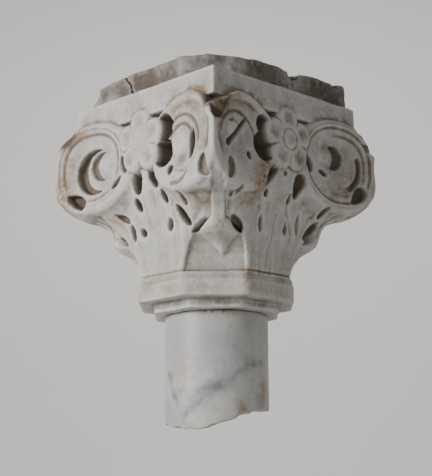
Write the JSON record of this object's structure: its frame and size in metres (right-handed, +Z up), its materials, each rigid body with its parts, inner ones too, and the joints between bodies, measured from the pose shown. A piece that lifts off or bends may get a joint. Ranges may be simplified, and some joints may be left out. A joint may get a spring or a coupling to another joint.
{
  "type": "marble capital fragment",
  "caption": "Carved square marble capital with corner scrolls, flowers and a drilled leaf bell, on an octagonal ring, with its bed slab above and a broken shaft below.",
  "frame": {"origin": "middle of the bed slab's flat top, on the shaft's axis", "axes": "+Z up along the shaft's axis, from the break to the bed; -Y and +X out of the two faces that the picture shows"},
  "size_m": [0.2766, 0.2766, 0.4155],
  "materials": {
    "marble": "weathered, honed by age, with ochre patina",
    "bed_stone": "rough, mortar-stained",
    "veined_marble": "smooth with blue-grey veins and rust spots"
  },
  "bodies": {
    "root": {"capital": "marble", "bed_slab": "bed_stone", "shaft_fragment": "veined_marble"}
  },
  "joints": []
}
